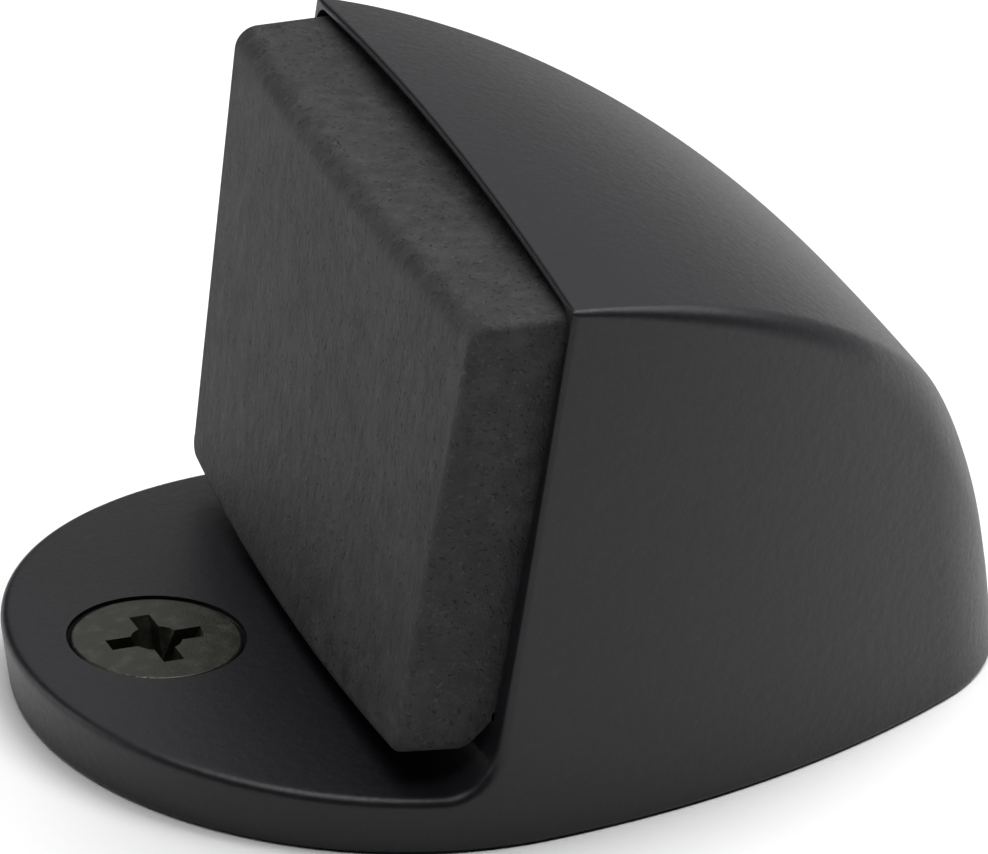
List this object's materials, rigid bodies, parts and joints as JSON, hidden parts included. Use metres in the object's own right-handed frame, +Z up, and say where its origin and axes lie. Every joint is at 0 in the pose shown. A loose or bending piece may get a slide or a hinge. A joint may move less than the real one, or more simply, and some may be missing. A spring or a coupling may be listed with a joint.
{
  "type": "floor door stop",
  "caption": "Low floor-mounted door stop: egg-shaped screw flange running into a hooded hollow casting with a rubber buffer block on its front face.",
  "frame": {"origin": "axis of the fixing screw at the underside of the flange, which is the floor", "axes": "+Z up from the floor; -Y is the way the buffer faces, towards the opening door; X across the stop, which is symmetric about X = 0 but for the screw's thread and recess"},
  "size_m": [0.037, 0.0482, 0.0544],
  "materials": {
    "casting": "matt black powder coat with a fine grain",
    "rubber": "dull charcoal black, faintly streaked",
    "screw": "dark, blackened steel"
  },
  "bodies": {
    "root": {"body_casting": "casting", "rubber_buffer": "rubber", "floor_screw": "screw"}
  },
  "joints": []
}
